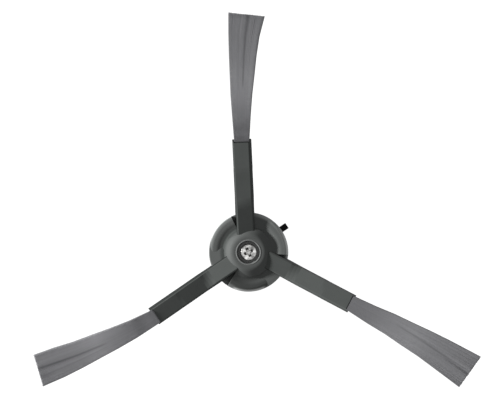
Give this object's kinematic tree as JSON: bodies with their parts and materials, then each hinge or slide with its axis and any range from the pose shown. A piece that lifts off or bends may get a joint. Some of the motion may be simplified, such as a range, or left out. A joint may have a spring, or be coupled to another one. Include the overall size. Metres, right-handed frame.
{
  "type": "robot vacuum side brush",
  "caption": "Rotating side brush for a robot vacuum: domed hub with a central screw, rubber arms that rise towards the floor, and fanned nylon bristle tufts at their ends.",
  "frame": {"origin": "on the hub axis in the plane of the hub's back rim", "axes": "+Z along the hub axis out of the screw side, towards the floor when the brush is on the robot; +Y towards the arm named top"},
  "size_m": [0.1409, 0.1182, 0.0194],
  "materials": {
    "hub_plastic": "fine moulded satin, dark grey",
    "arm_rubber": "smooth soft rubber, dark grey",
    "bristle": "bundled nylon bristles, mid grey",
    "screw_steel": "bright plated steel",
    "plate_plastic": "black moulded plastic"
  },
  "bodies": {
    "root": {"hub": "hub_plastic", "arm_top": "arm_rubber", "arm_left": "arm_rubber", "arm_right": "arm_rubber", "tuft_top": "bristle", "tuft_left": "bristle", "tuft_right": "bristle", "screw": "screw_steel", "drive_plate": "plate_plastic"}
  },
  "joints": []
}
